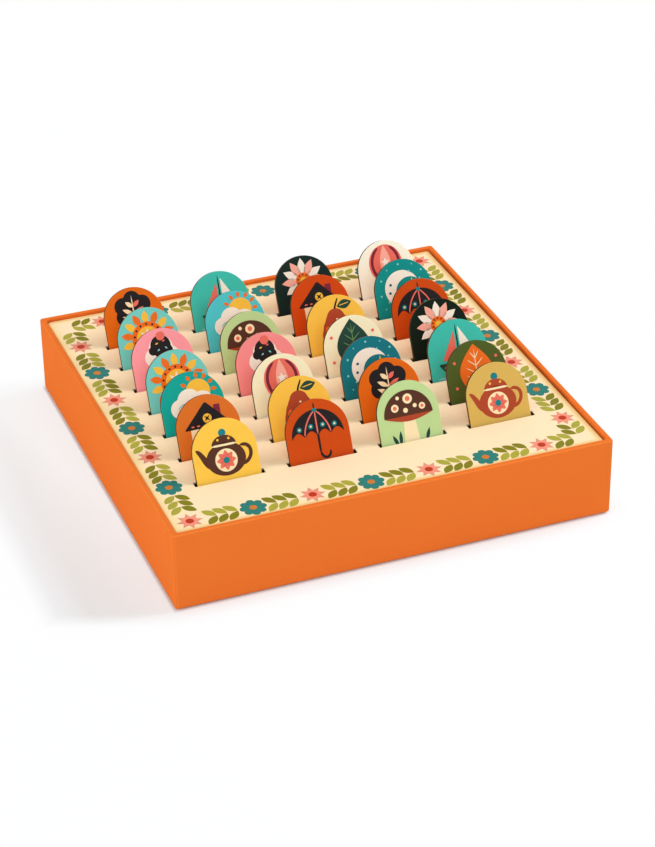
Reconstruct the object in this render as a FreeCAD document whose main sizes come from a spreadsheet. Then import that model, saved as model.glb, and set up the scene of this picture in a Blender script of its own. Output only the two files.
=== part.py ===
import FreeCAD, Part
import math
import os
import Sketcher

# A memory card game: a shallow paper-wrapped greyboard box, a folded card deck
# with a grid of slots, and thick picture tiles with round tops that stand in the
# slots, lean back and lift out along their own slope.
# Millimetres, +Z up, X to the right, Y from the front of the box to its back.
# The origin is the middle of the box's underside.

DOC = FreeCAD.newDocument("memory_card_game")

# Driving sizes: name, value, meaning
DRIVING = [
    ("box_width", 220.0, "outside width of the box, X"),
    ("box_depth", 220.0, "outside depth of the box, Y"),
    ("box_height", 40.0, "height of the rim above the table"),
    ("corner_radius", 1.6, "outer radius of the four upright edges"),
    ("rim_radius", 0.6, "outer radius along the rim"),
    ("wrap_paper", 0.3, "thickness of the orange wrapping paper"),
    ("board", 2.0, "thickness of the greyboard panels"),
    ("turn_in", 15.0, "depth to which the wrap is folded into the box"),
    ("stay_paper", 0.2, "thickness of the corner tapes"),
    ("stay_leg", 12.0, "width of each leg of a corner tape"),
    ("stay_gap", 0.5, "clear height between a corner tape and the turned-in wrap"),
    ("recess", 1.2, "depth of the deck below the rim"),
    ("insert_gap", 0.4, "clearance between the deck's skirts and the walls"),
    ("card", 0.8, "thickness of the folded card of the deck and its ribs"),
    ("mouth_corner", 2.0, "inner radius of the wrapped walls' four corners"),
    ("insert_corner", 2.2, "outer radius of the deck's upright corners"),
    ("fold_radius", 1.0, "outer radius of the fold between the deck and its skirts"),
    ("foot_board", 2.0, "thickness of the slotted board that holds the tile feet"),
    ("foot_board_gap", 0.3, "clearance between the foot board and the skirts"),
    ("foot_slot_gap", 0.3, "clearance between a tile's foot and its slot"),
    ("foot_clearance", 0.1, "clearance between a tile's foot and the floor"),
    ("rib_share", 0.65, "share of the width between two columns of slots that a rib fills"),
    ("rib_end_gap", 13.0, "clear length between each end of a rib and the skirt"),
    ("columns", 4, "number of slots side by side"),
    ("rows", 7, "number of slots from front to back"),
    ("side_border", 23.45, "width between the slots and the left and right sides of the box"),
    ("front_border", 37.4, "depth between the front of the box and the first row of slots"),
    ("back_border", 39.0, "depth between the last row of slots and the back of the box"),
    ("slot_end_gap", 1.6, "clearance at each end of a slot beside its tile"),
    ("slot_front_gap", 1.2, "clearance in front of a tile at the deck's underside"),
    ("slot_back_gap", 0.25, "clearance behind a tile at the deck's top"),
    ("tile_width", 31.6, "width of a tile, also the diameter of its round top"),
    ("tile_length", 68.0, "length of a tile from its foot to its top"),
    ("tile_board", 2.0, "thickness of a tile"),
    ("tile_foot_radius", 2.0, "radius of a tile's two lower corners"),
    ("lean", 26.4, "angle in degrees by which a tile leans back"),
]

# Sizes that follow from the driving ones
DERIVED = [
    ("floor_level", "=wrap_paper + board"),
    ("wall", "=board + 2 * wrap_paper"),
    ("deck_level", "=box_height - recess"),
    ("deck_underside", "=deck_level - card"),
    ("board_space_width", "=box_width - 2 * wrap_paper"),
    ("board_space_depth", "=box_depth - 2 * wrap_paper"),
    ("board_height", "=box_height - 2 * wrap_paper"),
    ("board_corner", "=max(corner_radius - wrap_paper; 0.1)"),
    ("floor_width", "=board_space_width - 2 * board"),
    ("floor_depth", "=board_space_depth - 2 * board"),
    ("mouth_width", "=box_width - 2 * wall"),
    ("mouth_depth", "=box_depth - 2 * wall"),
    ("stay_height", "=box_height - turn_in - floor_level - stay_gap"),
    ("skirt_gap", "=board + wrap_paper + max(wrap_paper; stay_paper) + insert_gap"),
    ("insert_width", "=box_width - 2 * skirt_gap"),
    ("insert_depth", "=box_depth - 2 * skirt_gap"),
    ("insert_height", "=deck_level - floor_level"),
    ("hollow_width", "=insert_width - 2 * card"),
    ("hollow_depth", "=insert_depth - 2 * card"),
    ("hollow_height", "=insert_height - card"),
    ("hollow_corner", "=max(insert_corner - card; 0.1)"),
    ("foot_board_width", "=hollow_width - 2 * foot_board_gap"),
    ("foot_board_depth", "=hollow_depth - 2 * foot_board_gap"),
    ("rib_length", "=hollow_depth - 2 * rib_end_gap"),
    ("rib_height", "=hollow_height - foot_board"),
    ("slot_length", "=tile_width + 2 * slot_end_gap"),
    ("column_pitch", "=(box_width - 2 * side_border - slot_length) / (columns - 1)"),
    ("first_column", "=-(columns - 1) * column_pitch / 2"),
    ("rib_width", "=rib_share * (column_pitch - slot_length)"),
    ("rib_shoulder", "=rib_height - card"),
    ("rib_far_side", "=rib_width - card"),
    ("tile_slope_depth", "=tile_board / cos(lean * 1 deg)"),
    ("slot_depth", "=slot_front_gap + tile_slope_depth + card * tan(lean * 1 deg) + slot_back_gap"),
    ("row_pitch", "=(box_depth - front_border - back_border - slot_depth) / (rows - 1)"),
    ("first_row", "=front_border - box_depth / 2"),
    ("lean_run", "=(deck_underside - floor_level - foot_clearance) * tan(lean * 1 deg)"),
    ("foot_offset", "=slot_front_gap + tile_slope_depth - lean_run"),
    ("foot_front", "=tile_board * cos(lean * 1 deg) + foot_slot_gap"),
    ("foot_slot_depth", "=foot_front + foot_board * tan(lean * 1 deg) + foot_slot_gap"),
    ("foot_slot_length", "=tile_width + 2 * foot_slot_gap"),
    ("arch_level", "=tile_length - tile_width / 2"),
    ("arch_radius", "=tile_width / 2"),
]

SHEET = DOC.addObject("Spreadsheet::Sheet", "Sizes")
for line, (alias, value, meaning) in enumerate(DRIVING, start=1):
    SHEET.set("A%d" % line, meaning)
    SHEET.set("B%d" % line, str(value))
    SHEET.setAlias("B%d" % line, alias)
for line, (alias, formula) in enumerate(DERIVED, start=len(DRIVING) + 1):
    SHEET.set("A%d" % line, alias.replace("_", " "))
    SHEET.set("B%d" % line, formula)
    SHEET.setAlias("B%d" % line, alias)
DOC.recompute()

LINE_START, LINE_END, CENTRE = 1, 2, 3
ORIGIN_POINT = (-1, 1)
SUBPARTS = []


def size(alias):
    """The value of a named size, as a number."""
    return float(SHEET.get(alias))


def bind(thing, path, expression):
    """Tie a property to the sheet. Bare names of sizes are looked up in it."""
    words = []
    for word in expression.split():
        words.append("Sizes." + word if word.isidentifier() else word)
    thing.setExpression(path, " ".join(words))


def new_body(name):
    """A body for one sub-part, which is written to a file of the same name."""
    body = DOC.addObject("PartDesign::Body", name)
    body.Label = name
    SUBPARTS.append(body)
    return body


def place(body, x="0", y="0", z="0", turn=None):
    """Put a body at a place worked out from the sheet, turned about an axis."""
    if turn is not None:
        axis, degrees = turn
        body.Placement = FreeCAD.Placement(FreeCAD.Vector(), FreeCAD.Rotation(axis, degrees))
    for letter, expression in (("x", x), ("y", y), ("z", z)):
        bind(body, "Placement.Base." + letter, expression)


def new_sketch(body, name, plane="XY_Plane", x="0", y="0", z="0"):
    """A sketch on one of the body's own planes, shifted in the plane and off it."""
    sketch = body.newObject("Sketcher::SketchObject", name)
    support = [part for part in body.Origin.OriginFeatures if part.Role == plane][0]
    sketch.AttachmentSupport = [(support, "")]
    sketch.MapMode = "FlatFace"
    for letter, expression in (("x", x), ("y", y), ("z", z)):
        bind(sketch, "AttachmentOffset.Base." + letter, expression)
    return sketch


def dimension(sketch, kind, places, alias):
    """A sketch dimension tied to a size of the sheet."""
    index = sketch.addConstraint(Sketcher.Constraint(kind, *places, size(alias)))
    bind(sketch, "Constraints[%d]" % index, alias)


def polygon(sketch, points):
    """A closed outline. Each corner is a pair of sizes, or 0 for on the axis."""
    spots = []
    for x, y in points:
        spots.append(FreeCAD.Vector(size(x) if x else 0.0, size(y) if y else 0.0, 0.0))
    count = len(spots)
    for i in range(count):
        sketch.addGeometry(Part.LineSegment(spots[i], spots[(i + 1) % count]))
    for i in range(count):
        following = (i + 1) % count
        sketch.addConstraint(Sketcher.Constraint("Coincident", i, LINE_END, following, LINE_START))
    for i, (x, y) in enumerate(points):
        if x:
            dimension(sketch, "DistanceX", ORIGIN_POINT + (i, LINE_START), x)
        else:
            sketch.addConstraint(Sketcher.Constraint("PointOnObject", i, LINE_START, -2))
        if y:
            dimension(sketch, "DistanceY", ORIGIN_POINT + (i, LINE_START), y)
        else:
            sketch.addConstraint(Sketcher.Constraint("PointOnObject", i, LINE_START, -1))


def rectangle(sketch, width, depth):
    """A rectangle whose lower left corner is the sketch's origin."""
    polygon(sketch, [(0, 0), (width, 0), (width, depth), (0, depth)])


def rounded_rectangle(sketch, width, depth, radius):
    """A rectangle with rounded corners, centred on the sketch's origin."""
    half_x, half_y, r = size(width) / 2, size(depth) / 2, size(radius)
    centres = [(half_x - r, half_y - r), (r - half_x, half_y - r),
               (r - half_x, r - half_y), (half_x - r, r - half_y)]
    for quarter, (cx, cy) in enumerate(centres):
        circle = Part.Circle(FreeCAD.Vector(cx, cy, 0), FreeCAD.Vector(0, 0, 1), r)
        start = quarter * math.pi / 2
        sketch.addGeometry(Part.ArcOfCircle(circle, start, start + math.pi / 2))
    for arc in range(4):
        ends = sketch.Geometry[arc].EndPoint, sketch.Geometry[(arc + 1) % 4].StartPoint
        sketch.addGeometry(Part.LineSegment(*ends))
    for arc in range(4):
        straight = 4 + arc
        following = (arc + 1) % 4
        sketch.addConstraint(Sketcher.Constraint("Tangent", arc, LINE_END, straight, LINE_START))
        sketch.addConstraint(Sketcher.Constraint("Tangent", straight, LINE_END, following, LINE_START))
    for top_or_bottom in (4, 6):
        sketch.addConstraint(Sketcher.Constraint("Horizontal", top_or_bottom))
    sketch.addConstraint(Sketcher.Constraint("Vertical", 5))
    for arc in (1, 2, 3):
        sketch.addConstraint(Sketcher.Constraint("Equal", 0, arc))
    sketch.addConstraint(Sketcher.Constraint("Symmetric", 0, CENTRE, 2, CENTRE, *ORIGIN_POINT))
    dimension(sketch, "Radius", (0,), radius)
    dimension(sketch, "DistanceX", (5, LINE_START, 7, LINE_START), width)
    dimension(sketch, "DistanceY", (6, LINE_START, 4, LINE_START), depth)


def pad(body, sketch, length, name="Pad", backwards=False, both_ways=False):
    """Material of the sketch's outline, as long as the expression says."""
    feature = body.newObject("PartDesign::Pad", name)
    feature.Profile = sketch
    bind(feature, "Length", length)
    feature.Reversed = backwards
    feature.Midplane = both_ways
    return feature


def pocket(body, sketch, length, name="Pocket", upwards=False):
    """A cut of the sketch's outline. It has to take material away."""
    DOC.recompute()
    before = body.Shape.Volume
    feature = body.newObject("PartDesign::Pocket", name)
    feature.Profile = sketch
    bind(feature, "Length", length)
    feature.Reversed = upwards
    DOC.recompute()
    if body.Shape.Volume >= before:
        raise ValueError("%s cuts nothing" % name)
    return feature


def grid_of_pockets(body, sketch, cut, name="Grid"):
    """Repeat a cut over the columns and rows of the slots."""
    steps = (("H_Axis", "columns", "column_pitch"), ("V_Axis", "rows", "row_pitch"))
    patterns = []
    for axis, count, pitch in steps:
        pattern = body.newObject("PartDesign::LinearPattern", name + "_" + count)
        pattern.Direction = (sketch, [axis])
        bind(pattern, "Length", "( %s - 1 ) * %s" % (count, pitch))
        bind(pattern, "Occurrences", count)
        patterns.append(pattern)
    grid = body.newObject("PartDesign::MultiTransform", name)
    grid.Originals = [cut]
    grid.Transformations = patterns
    body.Tip = grid
    return grid


def round_edges(body, wanted, radius, name="Rounding"):
    """Round the edges that the test picks out, by the radius expression."""
    DOC.recompute()
    base = body.Tip
    picked = ["Edge%d" % (i + 1) for i, edge in enumerate(base.Shape.Edges) if wanted(edge)]
    feature = body.newObject("PartDesign::Fillet", name)
    feature.Base = (base, picked)
    bind(feature, "Radius", radius)
    return feature


def upright(edge):
    """Whether an edge runs straight up."""
    direction = edge.tangentAt(edge.FirstParameter)
    return abs(direction.z) > 0.999


def at_height(edge, level):
    """Whether an edge lies at one height all along."""
    return abs(edge.BoundBox.ZMin - level) < 1e-6 and abs(edge.BoundBox.ZMax - level) < 1e-6


def make_wrap():
    """The paper over the walls, folded over the rim and under the box."""
    body = new_body("outer_wrap")
    outline = new_sketch(body, "WrapOutline")
    rounded_rectangle(outline, "box_width", "box_depth", "corner_radius")
    pad(body, outline, "box_height", "WrapBlock")
    round_edges(body, lambda edge: at_height(edge, size("box_height")),
                "min( rim_radius ; 3 * wrap_paper )", "RimRounding")
    space = new_sketch(body, "BoardSpaceOutline", z="wrap_paper")
    rounded_rectangle(space, "board_space_width", "board_space_depth", "board_corner")
    pocket(body, space, "board_height", "BoardSpace", upwards=True)
    mouth = new_sketch(body, "MouthOutline", z="box_height")
    rounded_rectangle(mouth, "mouth_width", "mouth_depth", "mouth_corner")
    pocket(body, mouth, "2 * wrap_paper", "Mouth")
    fold = new_sketch(body, "TurnInOutline", z="box_height - wrap_paper")
    rounded_rectangle(fold, "floor_width", "floor_depth", "mouth_corner")
    pad(body, fold, "turn_in - wrap_paper", "TurnInBlock", backwards=True)
    inside = new_sketch(body, "TurnInInside", z="box_height - wrap_paper")
    rounded_rectangle(inside, "mouth_width", "mouth_depth", "mouth_corner")
    pocket(body, inside, "turn_in", "TurnInCut")


def make_board(name, width, depth, height, x, y, z, outer_side=None):
    """A flat greyboard panel with its lower left corner at x, y, z."""
    body = new_body(name)
    outline = new_sketch(body, name + "_outline", x=x, y=y, z=z)
    rectangle(outline, width, depth)
    pad(body, outline, height, name + "_pad")
    if outer_side is not None:
        level = outer_side * size("board_space_depth") / 2
        round_edges(body, lambda edge: upright(edge) and abs(edge.BoundBox.Center.y - level) < 1e-6,
                    "board_corner", name + "_corners")


def make_boards():
    """The floor and the four walls of the box. The front and back run the full width."""
    half_width, half_depth = "board_space_width / 2", "board_space_depth / 2"
    make_board("floor_board", "floor_width", "floor_depth", "board",
               "- floor_width / 2", "- floor_depth / 2", "wrap_paper")
    make_board("front_wall_board", "board_space_width", "board", "board_height",
               "- " + half_width, "- " + half_depth, "wrap_paper", outer_side=-1)
    make_board("back_wall_board", "board_space_width", "board", "board_height",
               "- " + half_width, half_depth + " - board", "wrap_paper", outer_side=1)
    make_board("left_wall_board", "board", "floor_depth", "board_height",
               "- " + half_width, "- floor_depth / 2", "wrap_paper")
    make_board("right_wall_board", "board", "floor_depth", "board_height",
               half_width + " - board", "- floor_depth / 2", "wrap_paper")


def make_corner_stay(name, side_x, side_y, degrees):
    """A paper tape folded into an inside corner, which ties two walls together."""
    body = new_body(name)
    outline = new_sketch(body, name + "_outline")
    polygon(outline, [(0, 0), ("stay_leg", 0), ("stay_leg", "stay_paper"),
                      ("stay_paper", "stay_paper"), ("stay_paper", "stay_leg"), (0, "stay_leg")])
    pad(body, outline, "stay_height", name + "_pad")
    place(body, "%d * floor_width / 2" % side_x, "%d * floor_depth / 2" % side_y, "floor_level",
          turn=(FreeCAD.Vector(0, 0, 1), degrees))


def make_deck():
    """The folded card: a slotted deck with a skirt down to the floor on each side."""
    body = new_body("slotted_deck")
    outline = new_sketch(body, "DeckOutline", z="floor_level")
    rounded_rectangle(outline, "insert_width", "insert_depth", "insert_corner")
    pad(body, outline, "insert_height", "DeckBlock")
    round_edges(body, lambda edge: at_height(edge, size("deck_level")), "fold_radius", "DeckFold")
    hollow = new_sketch(body, "HollowOutline", z="floor_level")
    rounded_rectangle(hollow, "hollow_width", "hollow_depth", "hollow_corner")
    pocket(body, hollow, "hollow_height", "Hollow", upwards=True)
    slot = new_sketch(body, "SlotOutline", x="first_column - slot_length / 2", y="first_row", z="deck_level")
    rectangle(slot, "slot_length", "slot_depth")
    cut = pocket(body, slot, "2 * card", "Slot")
    grid_of_pockets(body, slot, cut, "Slots")


def make_foot_board():
    """The slotted board on the floor, which keeps the tile feet forward."""
    body = new_body("foot_board")
    outline = new_sketch(body, "FootBoardOutline", z="floor_level")
    rounded_rectangle(outline, "foot_board_width", "foot_board_depth", "hollow_corner")
    pad(body, outline, "foot_board", "FootBoardBlock")
    slot = new_sketch(body, "FootSlotOutline", x="first_column - foot_slot_length / 2",
                      y="first_row + foot_offset - foot_front", z="floor_level + foot_board")
    rectangle(slot, "foot_slot_length", "foot_slot_depth")
    cut = pocket(body, slot, "2 * foot_board", "FootSlot")
    grid_of_pockets(body, slot, cut, "FootSlots")


def make_rib(gap):
    """A folded channel between two columns, which carries the middle of the deck."""
    body = new_body("deck_rib_%d" % (gap + 1))
    outline = new_sketch(body, "RibOutline", "XZ_Plane")
    polygon(outline, [(0, 0), ("card", 0), ("card", "rib_shoulder"), ("rib_far_side", "rib_shoulder"),
                      ("rib_far_side", 0), ("rib_width", 0), ("rib_width", "rib_height"),
                      (0, "rib_height")])
    pad(body, outline, "rib_length", "RibPad", both_ways=True)
    place(body, "first_column + ( %d + 0.5 ) * column_pitch - rib_width / 2" % gap, "0",
          "floor_level + foot_board")


def make_tile(row, column):
    """A picture tile: a thick board with a round top, leaning back in its slot."""
    body = new_body("tile_row%d_col%d" % (row + 1, column + 1))
    outline = new_sketch(body, "TileOutline", "XZ_Plane")
    half, straight = size("tile_width") / 2, size("arch_level")
    left_foot, right_foot = FreeCAD.Vector(-half, 0, 0), FreeCAD.Vector(half, 0, 0)
    left_shoulder, right_shoulder = FreeCAD.Vector(-half, straight, 0), FreeCAD.Vector(half, straight, 0)
    outline.addGeometry(Part.LineSegment(left_foot, right_foot))
    outline.addGeometry(Part.LineSegment(right_foot, right_shoulder))
    crown = Part.Circle(FreeCAD.Vector(0, straight, 0), FreeCAD.Vector(0, 0, 1), half)
    outline.addGeometry(Part.ArcOfCircle(crown, 0, math.pi))
    outline.addGeometry(Part.LineSegment(left_shoulder, left_foot))
    foot, right_side, arch, left_side = range(4)
    outline.addConstraint(Sketcher.Constraint("Coincident", foot, LINE_END, right_side, LINE_START))
    outline.addConstraint(Sketcher.Constraint("Tangent", right_side, LINE_END, arch, LINE_START))
    outline.addConstraint(Sketcher.Constraint("Tangent", arch, LINE_END, left_side, LINE_START))
    outline.addConstraint(Sketcher.Constraint("Coincident", left_side, LINE_END, foot, LINE_START))
    outline.addConstraint(Sketcher.Constraint("Horizontal", foot))
    outline.addConstraint(Sketcher.Constraint("Vertical", right_side))
    outline.addConstraint(Sketcher.Constraint("Vertical", left_side))
    outline.addConstraint(Sketcher.Constraint("Symmetric", foot, LINE_START, foot, LINE_END, *ORIGIN_POINT))
    dimension(outline, "Radius", (arch,), "arch_radius")
    dimension(outline, "DistanceY", ORIGIN_POINT + (arch, CENTRE), "arch_level")
    pad(body, outline, "tile_board", "TilePad")
    round_edges(body, lambda edge: edge.BoundBox.ZMax < 1e-6 and edge.BoundBox.XLength < 1e-6,
                "tile_foot_radius", "FootCorners")
    place(body, "first_column + %d * column_pitch" % column, "first_row + %d * row_pitch + foot_offset" % row,
          "floor_level + foot_clearance", turn=(FreeCAD.Vector(-1, 0, 0), size("lean")))
    bind(body, "Placement.Rotation.Angle", "lean")


make_wrap()
make_boards()
CORNERS = [("front_left", -1, -1, 0), ("front_right", 1, -1, 90), ("back_right", 1, 1, 180), ("back_left", -1, 1, 270)]
for corner, side_x, side_y, degrees in CORNERS:
    make_corner_stay("corner_stay_" + corner, side_x, side_y, degrees)
make_deck()
make_foot_board()
for gap in range(int(size("columns")) - 1):
    make_rib(gap)
for row in range(int(size("rows"))):
    for column in range(int(size("columns"))):
        make_tile(row, column)
DOC.recompute()

for thing in DOC.Objects:
    if "Invalid" in thing.State or "Error" in thing.State:
        raise ValueError("%s failed: %s" % (thing.Label, thing.State))
os.makedirs("parts", exist_ok=True)
for body in SUBPARTS:
    if body.Shape.isNull() or not body.Shape.isValid() or len(body.Shape.Solids) != 1:
        raise ValueError("%s is not one valid solid" % body.Label)
    body.Shape.exportStep("parts/%s.step" % body.Label)
print("%d sub-parts written" % len(SUBPARTS))
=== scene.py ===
import math
import bmesh
import bpy
import numpy as np
from mathutils import Matrix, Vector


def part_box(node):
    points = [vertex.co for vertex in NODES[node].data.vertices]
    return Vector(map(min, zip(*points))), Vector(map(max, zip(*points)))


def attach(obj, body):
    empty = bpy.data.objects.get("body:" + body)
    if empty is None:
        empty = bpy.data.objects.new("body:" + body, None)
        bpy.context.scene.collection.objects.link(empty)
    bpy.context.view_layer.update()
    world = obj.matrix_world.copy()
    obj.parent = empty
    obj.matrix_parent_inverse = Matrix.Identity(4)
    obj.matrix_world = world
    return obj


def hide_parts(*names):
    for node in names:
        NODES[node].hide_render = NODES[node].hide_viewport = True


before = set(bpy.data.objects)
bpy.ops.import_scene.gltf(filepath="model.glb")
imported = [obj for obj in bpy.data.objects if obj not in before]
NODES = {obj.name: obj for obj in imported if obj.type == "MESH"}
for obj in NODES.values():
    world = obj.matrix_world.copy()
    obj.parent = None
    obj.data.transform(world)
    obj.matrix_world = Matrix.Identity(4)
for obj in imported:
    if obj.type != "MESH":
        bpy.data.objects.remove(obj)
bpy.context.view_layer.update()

# A memory card game: an orange box with a slotted cream deck and 28 leaning picture tiles.
# Shapes are worked out in millimetres in the frame of the CAD model and turned to metres
# when they are put into a mesh.
MM = 0.001

# Sizes of a tile: its lean, half its width, its thickness, the radius of its lower corners,
# the height of its round top's centre above its foot, and the quarter rounds of its pressed
# front edge and of its back edge
LEAN = math.radians(26.4)
TILE_HALF = 15.8
TILE_BOARD = 2.0
FOOT_RADIUS = 2.0
ARCH = 52.2
PRESSED = 0.2
EASED = 0.14

# Sizes of the box: its paper, a wrapped wall, the depth to which the paper is turned in, the
# radius of its upright edges outside and inside, and the least radius within the paper
PAPER = 0.3
WALL = 2.6
TURN_IN = 15.0
EDGE_RADIUS = 1.6
MOUTH_RADIUS = 2.0
LEAST_RADIUS = 0.5
BOX_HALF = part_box("outer_wrap")[1][0] / MM

# One film of ink, the deck's top, and the steps from slot to slot
INK_FILM = 0.03
DECK_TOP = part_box("slotted_deck")[1][2] / MM
COLUMN_PITCH = (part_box("tile_row1_col2")[0][0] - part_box("tile_row1_col1")[0][0]) / MM
ROW_PITCH = (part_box("tile_row2_col1")[0][1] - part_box("tile_row1_col1")[0][1]) / MM


def box_mm(node):
    """Lowest and highest corner of a CAD node, in millimetres."""
    low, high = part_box(node)
    return np.array(low) / MM, np.array(high) / MM


# Meshes

def put_mesh(name, points, faces, materials, index=None, smooth=False, fold_line_shade=None):
    """A mesh object at the origin, its faces turned outwards, from points in millimetres."""
    mesh = bpy.data.meshes.new(name)
    mesh.from_pydata((np.asarray(points) * MM).tolist(), [], faces)
    for material in materials:
        mesh.materials.append(material)
    if index is not None:
        mesh.polygons.foreach_set("material_index", np.asarray(index, np.int32))
    mesh.polygons.foreach_set("use_smooth", np.full(len(faces), smooth))
    # A point attribute for painted shade, such as along the wrap's folds and corners
    if fold_line_shade is not None:
        fold_line_shades = mesh.attributes.new("fold_line_shade", "FLOAT", "POINT")
        fold_line_shades.data.foreach_set("value", np.asarray(fold_line_shade, np.float32))
    shell = bmesh.new()
    shell.from_mesh(mesh)
    bmesh.ops.recalc_face_normals(shell, faces=shell.faces)
    shell.to_mesh(mesh)
    shell.free()
    mesh.update()
    piece = bpy.data.objects.new(name, mesh)
    bpy.context.scene.collection.objects.link(piece)
    return piece


def ring_faces(rings, around):
    """Quads between rings that follow each other, and one flat face on the first and the last ring."""
    a = np.arange(around)
    b = np.roll(a, -1)
    start = np.arange(rings - 1)[:, None] * around
    quads = np.stack([start + a, start + b, start + around + b, start + around + a], -1)
    return quads.reshape(-1, 4).tolist() + [a.tolist(), (a + (rings - 1) * around).tolist()]


def film(shapes, plane):
    """Printed shapes as closed prisms. A shape is (N x 2 outline, ink number, level). Its top
    lies level times a film's thickness above the plane, and its foot 0.3 of one under it."""
    points, faces, inks, start = [], [], [], 0
    for outline, ink, level in shapes:
        x, y = outline.T
        points += [plane(x, y, -0.3 * INK_FILM), plane(x, y, level * INK_FILM)]
        own = ring_faces(2, len(outline))
        faces += [[corner + start for corner in face] for face in own]
        inks += [ink] * len(own)
        start += 2 * len(outline)
    return np.concatenate(points), faces, inks


# Outlines, each an N x 2 array

def swing(points, degrees, x=0.0, y=0.0):
    """Points turned about the origin and then moved by (x, y)."""
    c, s = math.cos(math.radians(degrees)), math.sin(math.radians(degrees))
    return points @ np.array([[c, s], [-s, c]]) + np.array([x, y])


def disc(x, y, rx, ry=None, tilt=0.0, count=36):
    """An ellipse: (rx cos a, ry sin a), tilted."""
    a = np.linspace(0, 2 * np.pi, count, endpoint=False)
    return swing(np.stack([rx * np.cos(a), (ry or rx) * np.sin(a)], -1), tilt, x, y)


def lens(x0, y0, x1, y1, width, count=10):
    """A pointed petal from one point to another: half its width times sin(pi t) on both sides."""
    t = np.linspace(0, 1, count)
    belly = 0.5 * width * np.sin(np.pi * t)
    along = np.concatenate([t, t[-2:0:-1]])[:, None]
    side = np.concatenate([belly, -belly[-2:0:-1]])[:, None]
    run = np.array([x1 - x0, y1 - y0])
    across = np.array([-run[1], run[0]]) / np.hypot(*run)
    return np.array([x0, y0]) + along * run + side * across


def spokes(number, inner, outer, width, x=0.0, y=0.0, first=90.0):
    """Petals that point away from (x, y), evenly spaced."""
    a = np.radians(first + np.arange(number) * 360.0 / number)
    return [lens(x + inner * c, y + inner * s, x + outer * c, y + outer * s, width)
            for c, s in zip(np.cos(a), np.sin(a))]


def dots(places, radius, count=14):
    """Small round dots."""
    return [disc(x, y, radius, count=count) for x, y in places]


def ring_of(number, radius, x=0.0, y=0.0, first=90.0):
    """Places on a circle, evenly spaced."""
    a = np.radians(first + np.arange(number) * 360.0 / number)
    return np.stack([x + radius * np.cos(a), y + radius * np.sin(a)], -1)


def star(x, y, tips, outer, inner, tilt=90.0):
    """A straight-sided star, its radius outer and inner by turns."""
    a = np.arange(2 * tips) * np.pi / tips + math.radians(tilt)
    r = np.where(np.arange(2 * tips) % 2 == 0, outer, inner)
    return np.stack([x + r * np.cos(a), y + r * np.sin(a)], -1)


def cluster(x, y, discs, count=96):
    """The outline of overlapping discs (dx, dy, r) seen from a point in them all: the farthest
    crossing of each ray with any disc, d cos b + sqrt(r r - d d sin b sin b)."""
    a = np.linspace(0, 2 * np.pi, count, endpoint=False)[:, None]
    dx, dy, r = np.array(discs, float).T
    d, turn = np.hypot(dx, dy), np.arctan2(dy, dx)
    inside = r ** 2 - (d * np.sin(a - turn)) ** 2
    reach = np.where(inside > 0, d * np.cos(a - turn) + np.sqrt(np.maximum(inside, 0)), 0).max(1)
    return np.stack([x + reach * np.cos(a[:, 0]), y + reach * np.sin(a[:, 0])], -1)


def rosette(x, y, lobes, reach, lobe):
    """A flower with round lobes, as a cluster of discs on a circle."""
    return cluster(x, y, [(px, py, lobe) for px, py in ring_of(lobes, reach - lobe)])


def rounded(corners, cut, count=5):
    """A polygon whose corners are cut back by a length and bridged by a parabola."""
    p = np.array(corners, float)
    before, after = np.roll(p, 1, 0) - p, np.roll(p, -1, 0) - p
    a = p + cut * before / np.linalg.norm(before, axis=1)[:, None]
    b = p + cut * after / np.linalg.norm(after, axis=1)[:, None]
    t = np.linspace(0, 1, count)[None, :, None]
    bridge = (1 - t) ** 2 * a[:, None] + 2 * t * (1 - t) * p[:, None] + t ** 2 * b[:, None]
    return bridge.reshape(-1, 2)


def bezier(controls, t):
    """A cubic curve with four control points."""
    p = np.array(controls, float)
    t = t[:, None]
    return (1 - t) ** 3 * p[0] + 3 * t * (1 - t) ** 2 * p[1] + 3 * t ** 2 * (1 - t) * p[2] + t ** 3 * p[3]


def ribbon(controls, width, end_width=None, count=16):
    """A stroke along a cubic curve. Its half width runs from one value to the other, times
    the square root of 1 - |2t - 1|^8, which makes the ends blunt."""
    t = np.linspace(0, 1, count)
    middle = bezier(controls, t)
    way = np.gradient(middle, axis=0)
    way /= np.linalg.norm(way, axis=1)[:, None]
    across = np.stack([-way[:, 1], way[:, 0]], -1)
    half = 0.5 * (width + t * ((width if end_width is None else end_width) - width))
    half = (half * np.sqrt(np.maximum(1 - np.abs(2 * t - 1) ** 8, 0.02)))[:, None]
    return np.concatenate([middle + half * across, (middle - half * across)[::-1]])


def stroke(x0, y0, x1, y1, width, end_width=None):
    """A straight stroke."""
    t = np.linspace(0, 1, 4)[:, None]
    return ribbon(np.array([x0, y0]) * (1 - t) + np.array([x1, y1]) * t, width, end_width, 8)


def dome(x, y, rx, ry, scallops=0, depth=0.0, count=40):
    """The upper half of an ellipse. Its lower edge is straight, or rises in scallops by
    depth times |sin(pi scallops t)|."""
    a = np.linspace(0, np.pi, count)
    t = np.linspace(0, 1, count)[1:-1]
    lower = depth * np.abs(np.sin(np.pi * scallops * t))
    crown = np.stack([x + rx * np.cos(a), y + ry * np.sin(a)], -1)
    return np.concatenate([crown, np.stack([x - rx + 2 * rx * t, y + lower], -1)])


def crescent(x, y, r, shift, inner, tilt=0.0, count=24):
    """A moon: the arc of a circle and the arc of a shifted one, between their two crossings."""
    cut = (r ** 2 - inner ** 2 + shift ** 2) / (2 * shift)
    half = math.sqrt(r ** 2 - cut ** 2)
    a, b = math.atan2(half, cut), math.atan2(half, cut - shift)
    outer = np.linspace(a, 2 * np.pi - a, count)
    back = np.linspace(2 * np.pi - b, b, count)[1:-1]
    points = np.concatenate([np.stack([r * np.cos(outer), r * np.sin(outer)], -1),
                             np.stack([shift + inner * np.cos(back), inner * np.sin(back)], -1)])
    return swing(points, tilt, x, y)


# Finishes

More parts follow.
